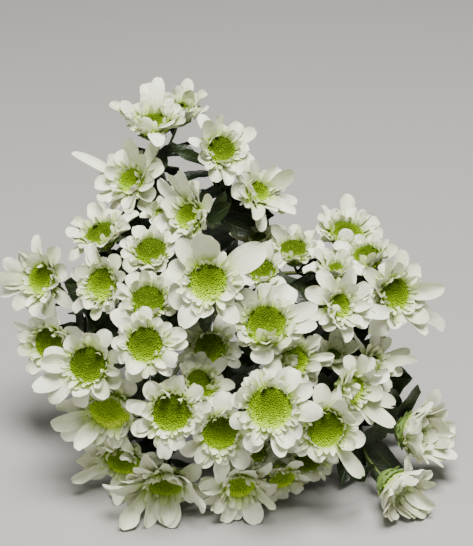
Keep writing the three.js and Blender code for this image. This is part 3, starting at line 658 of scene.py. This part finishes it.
for head in heads:
    chance = np.random.default_rng(EYE_SEED + head["number"])
    eye = head["eye"] * head["radius"]
    count = int((eye / BUD_SPACING) ** 2 * BUDS_PACKED)
    index = np.arange(count)
    stray = BUD_STRAY / math.sqrt(count)
    out = np.clip(np.sqrt((index + 0.5) / count) + chance.normal(0, stray, count), 0.01, 1)
    turn = index * SPIRAL_TURN + chance.normal(0, stray, count) / out
    size = BUD_SPACING * (0.8 + 0.3 * out) * chance.uniform(*BUD_SIZES, count)
    lean = EDGE_LEAN * out**3 + chance.normal(0, LEAN_STRAY, count)
    tall = size * (0.6 + 0.5 * out**2) * chance.uniform(*BUD_SIZES, count)

    # Each bud stands on the dome, leans outwards by its lean, and has its rings across that.
    feet = place(head, out * eye, turn, eye_height(out))[:, None]
    ray = place(head, np.ones(count), turn, np.zeros(count)) - head["middle"]
    stand = np.cos(lean)[:, None] * head["axis"] + np.sin(lean)[:, None] * ray
    flat = np.cross(head["axis"], ray)
    other = np.cross(stand, flat)
    corner = (np.arange(BUD_SIDES) / BUD_SIDES * 2 * math.pi)[:, None]
    spokes = np.cos(corner) * flat[:, None] + np.sin(corner) * other[:, None]
    upright = (tall[:, None] * stand)[:, None]
    rings = [feet + wide * size[:, None, None] * spokes + high * upright for wide, high in BUD_RINGS]
    buds = np.concatenate([*rings, feet + upright], axis=1).reshape(-1, 3)

    dome_up = np.append(DOME_FOOT, eye_height(DOME_OUT[1:]) - DOME_UNDER)
    dome, dome_faces = lathe(head, DOME_OUT * eye, dome_up, DOME_SIDES)
    faces = bud_faces(count) + [[len(buds) + corner for corner in face] for face in dome_faces]
    points = np.concatenate([buds, dome])
    points[:, 2] = np.maximum(points[:, 2], TABLE_GAP)
    tone = chance.uniform(0, 1, count)
    age_and_painted_light = EYE_AGES_AND_PAINTED_LIGHT.get(head["number"], chance.uniform(*USUAL_AGES))
    # The eye's upper side is painted darker and its lower side paler, as painted shade from the parts
    # above it. This goes into the ring mark together with the florets' opening.
    opened_with_painted_shade = np.clip(age_and_painted_light + EDGE_OLDER * out**3 - UPPER_SIDE_PAINTED_SHADE * out * (ray @ UP), 0, 1)
    marks = {"ring": np.repeat(opened_with_painted_shade, BUD_POINTS), "crown": np.tile(BUD_CROWN, count),
             "tone": np.repeat(tone, BUD_POINTS)}
    marks = {mark: np.append(values, np.full(len(dome), DOME_MARKS[mark]))
             for mark, values in marks.items()}
    heart = add_piece(head["name"] + "_eye", points, faces, eye_skin, marks=marks, sharp=80)
    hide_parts(head["name"])

# The calyx: a firm green cup under the rays with two rows of narrow pointed bracts pressed to it,
# each with a thin pale edge. Its foot sits on the end of the flower's stalk.
CALYX_SEED = 900
CUP_FOOT = 0.0014
CUP_WIDE = 0.36  # in head radii
CUP_BOTTOM = -CALYX_DEPTH - 0.0006
CUP_RIM = -0.0012
CUP_LID = 0.0002  # where the cup closes on its axis, under the eye
CUP_SIDES = 16
BRACT_ROWS = np.array([0, 0.3, 0.6, 0.85, 1])
BRACT_COLUMNS = np.array([-1, 0, 1])
BRACT_THICKNESS = 0.0005
# The lower and the upper row: the place of the bracts' feet out from the axis and below the rays,
# their length, and how many they are. The places out and the lengths are in head radii.
BRACTS = [(0.12, 0.0088, 0.3, 11), (0.2, 0.0068, 0.28, 13)]
BRACT_WIDTH = 0.13
BRACT_LENGTHS = (0.9, 1.15)
# As a mean and a spread.
BRACT_STRAY = (0, 0.01)
BRACT_OFF_CUP = (0.06, 0.06)
BRACT_DROOP = (0.5, 0.15)


def mottling_group():
    """Two colours, mixed by noise over the place on the object."""
    inputs = {"First": "Color", "Second": "Color", "Scale": "Float", "Detail": "Float"}
    group, add, given, result = new_group("mottling", inputs, {"Color": "Color"})
    place_in = add("TexCoord")
    noise = add("TexNoise", {"Vector": place_in.outputs["Object"], "Scale": given["Scale"],
                             "Detail": given["Detail"]})
    colour = add("Mix", {"Factor": noise.outputs["Fac"], "A": given["First"], "B": given["Second"]},
                 data_type="RGBA")
    feed(result, {"Color": colour.outputs["Result"]})
    return group


def midrib_group():
    """How far a place on a bract or leaf lies from its midrib, up to a half at the edges, and how
    far along it."""
    group, add, _, result = new_group("midrib", {}, {"Away": "Float", "Along": "Float"})
    uv = add("UVMap", uv_map="petal")
    split = add("SeparateXYZ", {"Vector": uv.outputs["UV"]})
    aside = add("Math", {0: split.outputs["X"], 1: 0.5}, operation="SUBTRACT")
    away = add("Math", {0: aside.outputs["Value"]}, operation="ABSOLUTE")
    feed(result, {"Away": away.outputs["Value"], "Along": split.outputs["Y"]})
    return group


mottling = mottling_group()
midrib = midrib_group()


def calyx_material():
    """Bract skin: mid green with a pale papery edge and fine mottling."""
    material, shader, add = new_material("green bract", roughness=0.55)
    rib = add("Group", node_tree=midrib)
    pale = add("MapRange", {"Value": rib.outputs["Away"], "From Min": 0.25, "From Max": 0.5})
    green = add("Group", {"First": (0.1, 0.17, 0.03), "Second": (0.2, 0.3, 0.07), "Scale": 500,
                          "Detail": 3}, node_tree=mottling)
    colour = add("Mix", {"Factor": pale.outputs["Result"], "A": green.outputs["Color"],
                         "B": (0.4, 0.48, 0.22)}, data_type="RGBA")
    feed(shader, {"Base Color": colour.outputs["Result"]})
    return material


calyx_skin = calyx_material()

for head in heads:
    chance = np.random.default_rng(CALYX_SEED + head["number"])
    radius = head["radius"]
    wide = CUP_WIDE * radius
    # The cup widens as a quarter sine, and rises a little late.
    share = np.linspace(0, 1, 6)
    cup_out = CUP_FOOT + (wide - CUP_FOOT) * np.sin(share * math.pi / 2) ** 0.8
    cup_up = CUP_BOTTOM + (CUP_RIM - CUP_BOTTOM) * share**1.3
    profile_out = np.concatenate([[0], cup_out, [0]])
    profile_up = np.concatenate([cup_up[:1], cup_up, [CUP_LID]])
    cup, faces = lathe(head, profile_out, profile_up, CUP_SIDES)
    parts = [cup]
    maps = [np.full((len(cup), 2), 0.5)]
    slope = math.atan2(BRACTS[0][1], wide - CUP_FOOT)
    for root, below, length, count in BRACTS:
        shape = {
            "turn": (np.arange(count) / count + chance.normal(*BRACT_STRAY, count)) * 2 * math.pi,
            "root": root * radius,
            "base": -below,
            "length": length * radius * chance.uniform(*BRACT_LENGTHS, count),
            "width": BRACT_WIDTH * radius,
            "rise": slope + chance.normal(*BRACT_OFF_CUP, count),
            "droop": chance.normal(*BRACT_DROOP, count),
            "widest": 0.45,
            "claw": 0.6,
            "cup": -0.35,
        }
        points, normals = petal_sheets(head, shape, BRACT_ROWS, BRACT_COLUMNS)
        # A bract thickens towards the cup, so that its faces turn round.
        points, quads = shells(points, normals, -BRACT_THICKNESS)
        faces += (quads[:, ::-1] + sum(len(part) for part in parts)).tolist()
        parts.append(points)
        maps.append(shell_maps(BRACT_ROWS, BRACT_COLUMNS, count))
    points = np.concatenate(parts)
    points[:, 2] = np.maximum(points[:, 2], TABLE_GAP)
    calyx = add_piece(head["name"] + "_calyx", points, faces, calyx_skin, np.concatenate(maps))
    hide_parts(head["name"])

# The stem, its branches and the flower stalks: one green, faintly ridged growth. The modelled rods
# are rounded off into a smooth skin.
FLECK_STRETCH = (1, 0.12, 1)  # the main stem runs along Y


def stem_material():
    """Stem skin: olive green with darker flecks, drawn out along the stem, and fine ridges."""
    material, shader, add = new_material("ridged stem", roughness=0.5)
    place_in = add("TexCoord")
    stretch = add("Mapping", {"Vector": place_in.outputs["Object"], "Scale": FLECK_STRETCH})
    fleck = add("TexNoise", {"Vector": stretch.outputs["Vector"], "Scale": 700, "Detail": 4})
    green = add("Group", {"First": (0.055, 0.085, 0.015), "Second": (0.13, 0.16, 0.04), "Scale": 30,
                          "Detail": 2}, node_tree=mottling)
    dark = add("MapRange", {"Value": fleck.outputs["Fac"], "From Min": 0.3, "From Max": 0.65,
                            "To Min": 0.55, "To Max": 1.1})
    colour = add("Mix", {"Factor": 1, "A": green.outputs["Color"], "B": dark.outputs["Result"]},
                 data_type="RGBA", blend_type="MULTIPLY")
    bump = add("Bump", {"Height": fleck.outputs["Fac"], "Strength": 0.6, "Distance": 0.0004})
    feed(shader, {"Base Color": colour.outputs["Result"], "Normal": bump.outputs["Normal"]})
    return material


stem_points, stem_triangles = corner_points(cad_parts["stem"])
stem = add_piece("stem_skin", stem_points, stem_triangles, stem_material(), sharp=180)
rounding = stem.modifiers.new("rounding", "SUBSURF")
rounding.levels = 1
rounding.render_levels = 1
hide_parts("stem")

# The leaves: thin dark blades with three lobes on each side, toothed towards their tips, on a short
# stalk that grows from a branch or from the stem.
LEAF_STALK = 0.24  # of the whole length
LEAF_ROWS = np.concatenate([np.linspace(0, LEAF_STALK, 5)[:-1], np.linspace(LEAF_STALK, 1, 43)])
LEAF_COLUMNS = np.linspace(-1, 1, 13)
STALK_THICKNESS = 0.0016
STALK_HALF_WIDTH = 0.0011
BLADE_THICKNESS = 0.0006
# Shares of the blade's length, and depths as shares of its half width.
LEAF_BAYS = (0.3, 0.56)  # where its lobes part
BAYS_APART = 0.02  # from those of the other side
BAY_WIDTH = 0.045
BAY_DEPTH = 0.55
TEETH = 7.5
TEETH_APART = 0.15
TOOTH_DEPTH = 0.12
LOBE_LEAN = 0.45
RIPPLE = 0.0014
RIPPLES = 21  # in radians, over the blade
TROUGH = 0.0006
TROUGH_WIDTH = 0.12


def leaf_frame(name):
    """A leaf's root, ways along, aside and out of its face, length, half width, and bow and fold,
    read off its modelled solid: the longest of its three main directions runs along it, and its
    narrower end is the root. A least squares fit of height over place gives the bow and the fold."""
    points, _ = corner_points(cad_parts[name])
    middle = points.mean(0)
    along, side, face = np.linalg.svd(points - middle)[2]
    s = (points - middle) @ along
    spread = np.abs((points - middle) @ side)
    reach = s.max() - s.min()
    if spread[s < s.min() + 0.2 * reach].mean() > spread[s > s.max() - 0.2 * reach].mean():
        along, s = -along, -s
    side = np.cross(along, face)
    share = (s - s.min()) / reach
    across = (points - middle) @ side
    fits = np.stack([np.ones_like(share), share, share**2, np.abs(across)], axis=1)
    height = (points - middle) @ face
    level, slope, curve, fold = np.linalg.lstsq(fits, height, rcond=None)[0]
    if fold < 0:
        face, side = -face, -side
        level, slope, curve, fold = -level, -slope, -curve, -fold
    root = middle + s.min() * along
    return root, along, side, face, reach, spread.max(), (level, slope, curve, fold)


def leaf_outline(blade, side):
    """The half width of a blade of width one, from the share of its length: a sine that is fullest
    below the middle, cut in by a bell-shaped bay between every two lobes and by small round teeth.
    The bays of the two sides are a little apart."""
    full = np.sin(math.pi * blade**0.8) ** 0.75
    bays = sum(np.exp(-(((blade - bay - BAYS_APART * side) / BAY_WIDTH) ** 2)) for bay in LEAF_BAYS)
    teeth = np.abs(np.sin((blade * TEETH + TEETH_APART * side) * math.pi)) - 0.6
    return full * (1.02 - BAY_DEPTH * bays + TOOTH_DEPTH * teeth)


def leaf_sheet(name):
    """Front points and normal of a leaf. Its height is the modelled leaf's bow and fold, with a
    ripple along the edges and a trough along the midrib, and its lobes lean towards the tip."""
    root, along, side, face, reach, wide, (level, slope, curve, fold) = leaf_frame(name)
    v, u = np.meshgrid(LEAF_ROWS, LEAF_COLUMNS, indexing="ij")
    blade = np.clip((v - LEAF_STALK) / (1 - LEAF_STALK), 0, 1)
    on_blade = blade > 0
    narrowest = np.where(v < 1, STALK_HALF_WIDTH, 0)
    half = np.maximum(wide * leaf_outline(blade, np.sign(u)), narrowest)
    lean = LOBE_LEAN * np.abs(u) ** 1.4 * half * on_blade * (1 - blade)
    out = u * half
    ripple = RIPPLE * np.sin(blade * RIPPLES + 1.5 * np.sign(u)) * np.abs(u) ** 2 * on_blade
    trough = -TROUGH * np.exp(-((u / TROUGH_WIDTH) ** 2)) * on_blade
    rise = level + slope * v + curve * v**2 + fold * np.abs(out) + ripple + trough
    points = root + (v * reach + lean)[..., None] * along + out[..., None] * side
    return points + rise[..., None] * face, face


def leaf_material():
    """Leaf skin: dark green, darker than the leaf's own colour as painted shade, paler along the midrib
    and the side veins that run to the lobes, with a blistered surface between them and a satin gloss.
    The side veins lie where a zigzag of the place along the leaf, set back by half the distance from
    the midrib, comes near nought."""
    material, shader, add = new_material("dark lobed leaf with painted shade", roughness=0.45)
    rib = add("Group", node_tree=midrib)
    slant = add("Math", {0: rib.outputs["Away"], 1: -0.5}, operation="MULTIPLY")
    along = add("Math", {0: rib.outputs["Along"], 1: slant.outputs["Value"]}, operation="ADD")
    many = add("Math", {0: along.outputs["Value"], 1: 7.9}, operation="MULTIPLY")
    cycle = add("Math", {0: many.outputs["Value"], 1: 0.5}, operation="PINGPONG")
    side_veins = add("MapRange", {"Value": cycle.outputs["Value"], "From Min": 0, "From Max": 0.07,
                                  "To Min": 1, "To Max": 0})
    middle_vein = add("MapRange", {"Value": rib.outputs["Away"], "From Min": 0.01, "From Max": 0.05,
                                   "To Min": 1, "To Max": 0})
    veins = add("Math", {0: side_veins.outputs["Result"], 1: middle_vein.outputs["Result"]},
                operation="MAXIMUM")
    # These greens are darker than a living leaf's: painted shade for the deep shade inside the spray.
    green = add("Group", {"First": (0.006, 0.014, 0.002), "Second": (0.018, 0.034, 0.005),
                          "Scale": 160, "Detail": 4}, node_tree=mottling)
    paler = add("Math", {0: veins.outputs["Value"], 1: 0.55}, operation="MULTIPLY")
    colour = add("Mix", {"Factor": paler.outputs["Value"], "A": green.outputs["Color"],
                         "B": (0.06, 0.09, 0.025)}, data_type="RGBA")
    place_in = add("TexCoord")
    blister = add("TexVoronoi", {"Vector": place_in.outputs["Object"], "Scale": 420})
    height = add("Math", {0: blister.outputs["Distance"], 1: veins.outputs["Value"]},
                 operation="SUBTRACT")
    bump = add("Bump", {"Height": height.outputs["Value"], "Strength": 0.5, "Distance": 0.0005})
    feed(shader, {"Base Color": colour.outputs["Result"], "Normal": bump.outputs["Normal"]})
    return material


leaf_skin_with_painted_shade = leaf_material()
for name in sorted(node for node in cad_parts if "leaf" in node):
    points, face = leaf_sheet(name)
    thick = np.where(LEAF_ROWS < LEAF_STALK, STALK_THICKNESS, BLADE_THICKNESS)[None, :, None, None]
    points, faces = shells(points[None], np.broadcast_to(face, points[None].shape), thick)
    leaf = add_piece(name + "_blade", points, faces, leaf_skin_with_painted_shade, shell_maps(LEAF_ROWS, LEAF_COLUMNS, 1))
    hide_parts(name)

# Small narrow leaves along the flower stalks. They grow singly, a little under each bloom, spread
# round the stalk, and lean towards the bloom. They are made after the leaves and share their skin.
LEAFLET_SEED = 5
SEAT_GAP = 0.0004  # from the calyx's foot to the stalk's end
STALK_REACH = 0.0013  # furthest that the points round a stalk's end lie from its middle
STALK_USED = 0.95  # how much of it may bear leaflets
LEAFLET_ROWS = np.array([0, 0.1, 0.25, 0.42, 0.6, 0.78, 0.92, 1])
LEAFLET_COLUMNS = np.linspace(-1, 1, 5)
LEAFLET_THICKNESS = 0.0005
LEAFLET_ROOT = 0.0006
LEAFLET_FIRST = 0.009  # below the calyx, along the stalk
LEAFLET_STEP = 0.0085
LEAFLETS_EACH = 8
LEAFLET_TRIES = 10  # turns round the stalk, of which the clearest is kept
LEAFLET_LONGER = 0.05  # from each one to the next
LEAFLET_SIZES = {26: 1.3, 29: 1.3, 30: 1.7, 31: 1.5}
LEAFLET_OFF_TABLE = 0.001
AXIS_STEP = 0.003  # between the two points that give a stalk's direction
# As a least and a most: shares of the step, metres, shares of the length, and degrees.
STEP_VARIES = (0.8, 1.2)
LEAFLET_LENGTH = (0.017, 0.026)
LEAFLET_WIDTH = (0.34, 0.46)
LEAFLET_RISE = (15, 50)
# As a mean and a spread.
LEAFLET_DROOP = (0.3, 0.3)
LEAFLET_TWIST = (0, 0.3)
neighbours = [set() for _ in stem_points]
for triangle in stem_triangles.tolist():
    for corner in triangle:
        neighbours[corner].update(triangle)


def stalk_line(head):
    """The middles of a stalk's rings, from its bloom down to its fork. The first ring is the rod's
    end at the calyx's foot, and each further ring is joined to the one before by edges."""
    foot = head["middle"] - (CALYX_DEPTH + SEAT_GAP) * head["axis"]
    ring = set(np.flatnonzero(np.linalg.norm(stem_points - foot, axis=1) < STALK_REACH))
    seen = set(ring)
    middles = [foot]
    while ring:
        ring = set().union(*(neighbours[k] for k in ring)) - seen
        seen |= ring
        corners = stem_points[list(ring)]
        if not ring or np.ptp(corners, axis=0).max() > 3 * STALK_REACH:
            break
        middles.append(corners.mean(0))
    return np.array(middles)


def point_on(line, length, down):
    """The point of a line that lies a given way down it."""
    return np.array([np.interp(down, length, line[:, k]) for k in range(3)])


leaflets, leaflet_faces = [], []
chance = np.random.default_rng(LEAFLET_SEED)
for head in heads:
    line = stalk_line(head)
    length = np.append(0, np.cumsum(np.linalg.norm(np.diff(line, axis=0), axis=1)))
    for number in range(LEAFLETS_EACH):
        down = LEAFLET_FIRST + number * LEAFLET_STEP * chance.uniform(*STEP_VARIES)
        if down > length[-1] * STALK_USED:
            break
        at = point_on(line, length, down)
        above = point_on(line, length, down - AXIS_STEP)
        axis = (above - at) / np.linalg.norm(above - at)
        side = np.cross(UP, axis)
        side /= np.linalg.norm(side)
        twig = {"middle": at, "axis": axis, "side": side, "front": np.cross(axis, side)}
        turn = (chance.uniform() + np.arange(LEAFLET_TRIES) / LEAFLET_TRIES) * 2 * math.pi
        size = chance.uniform(*LEAFLET_LENGTH) * (1 + LEAFLET_LONGER * number)
        size *= LEAFLET_SIZES.get(head["number"], 1)
        shape = {
            "turn": turn,
            "root": LEAFLET_ROOT,
            "length": size,
            "width": size * chance.uniform(*LEAFLET_WIDTH),
            "rise": math.radians(chance.uniform(*LEAFLET_RISE)),
            "droop": chance.normal(*LEAFLET_DROOP),
            "widest": 0.5,
            "claw": 0.24,
            "end": 1.01,
            "cup": 0.3,
            "wave": 0.25,
            "phase": chance.uniform(*ANY_PHASE),
            "twist": chance.normal(*LEAFLET_TWIST),
        }
        points, normals = petal_sheets(twig, shape, LEAFLET_ROWS, LEAFLET_COLUMNS)
        low = points[..., 2] < LEAFLET_OFF_TABLE
        hits = in_other_heads(points, None).sum((1, 2)) + low.sum((1, 2))
        best = hits.argmin()
        if hits[best] > 0:
            continue
        points, faces = shells(points[[best]], normals[[best]], LEAFLET_THICKNESS)
        leaflet_faces.append(faces + sum(len(each) for each in leaflets))
        leaflets.append(points)
maps = shell_maps(LEAFLET_ROWS, LEAFLET_COLUMNS, len(leaflets))
twigs = add_piece("stalk_leaflets", np.concatenate(leaflets), np.concatenate(leaflet_faces),
                  leaf_skin_with_painted_shade, maps)
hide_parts("stem")

# The table that the spray lies on: one wide flat sheet, matt and pale grey. It takes the spray's
# soft shadow.
TABLE_HALF = 6


def table_material():
    """A matt pale grey surface with hardly visible clouding."""
    material, shader, add = new_material("pale table", roughness=0.8)
    grey = add("Group", {"First": (0.33, 0.32, 0.295), "Second": (0.37, 0.36, 0.335), "Scale": 1.2,
                         "Detail": 2}, node_tree=mottling)
    feed(shader, {"Base Color": grey.outputs["Color"]})
    return material


corners = np.array([[-1, -1, 0], [1, -1, 0], [1, 1, 0], [-1, 1, 0]]) * TABLE_HALF
mesh = bpy.data.meshes.new("table")
mesh.from_pydata(corners, [], [(0, 1, 2, 3)])
mesh.materials.append(table_material())
table = bpy.data.objects.new("table", mesh)
bpy.context.scene.collection.objects.link(table)

# The camera and the light. Places in the picture are pixels from its top left corner, and one
# bloom's place gives where the model's origin stands to the picture's middle. A wide soft lamp
# hangs overhead, with a weak fill from the room.
PICTURE = np.array([473, 546])
PIXEL = 0.00062  # one pixel's size on the picture plane
VIEW_AWAY = 1.0  # from the lens to that plane
PICTURE_HEIGHT = 0.134  # of the picture's middle above the table
MAIN_HEAD = 10
MAIN_PIXEL = np.array([208, 282])
main = heads[MAIN_HEAD - 1]["middle"]
offset = (MAIN_PIXEL - PICTURE / 2) * PIXEL * np.array([1, -1])
# The bloom's height gives its depth before the picture plane, and its depth the other two.
depth = (main[2] - PICTURE_HEIGHT - offset[1] * UP[2]) / (TOWARDS[2] - offset[1] * UP[2] / VIEW_AWAY)
nearer = 1 - depth / VIEW_AWAY
plane = main - depth * TOWARDS - nearer * (offset[0] * RIGHT + offset[1] * UP)

camera = bpy.data.objects.new("camera", bpy.data.cameras.new("camera"))
camera.location = plane + VIEW_AWAY * TOWARDS
camera.rotation_euler = (math.pi / 2 - VIEW_DOWN, 0, 0)
camera.data.sensor_width = 36
camera.data.lens = camera.data.sensor_width * VIEW_AWAY / (PICTURE[1] * PIXEL)
bpy.context.scene.collection.objects.link(camera)
bpy.context.scene.camera = camera


def add_lamp(name, spot, aim, size, power):
    """A square area lamp at a spot, turned to shine at a point."""
    light = bpy.data.lights.new(name, "AREA")
    light.size = size
    light.energy = power
    lamp = bpy.data.objects.new(name, light)
    lamp.location = spot
    way = np.array(aim) - np.array(spot)
    flat = math.hypot(way[0], way[1])
    lamp.rotation_euler = (math.atan2(flat, -way[2]), 0, math.atan2(way[1], way[0]) - math.pi / 2)
    bpy.context.scene.collection.objects.link(lamp)


LIT_SPOT = (0, -0.1, 0.1)
add_lamp("overhead lamp", (0.15, -0.6, 1.9), LIT_SPOT, size=0.85, power=100)
add_lamp("room fill", (-0.8, -1.3, 0.6), LIT_SPOT, size=1.6, power=5)
world = bpy.data.worlds.new("room")
world.use_nodes = True
feed(world.node_tree.nodes["Background"], {"Color": (1, 0.99, 0.95), "Strength": 0.16})
bpy.context.scene.world = world
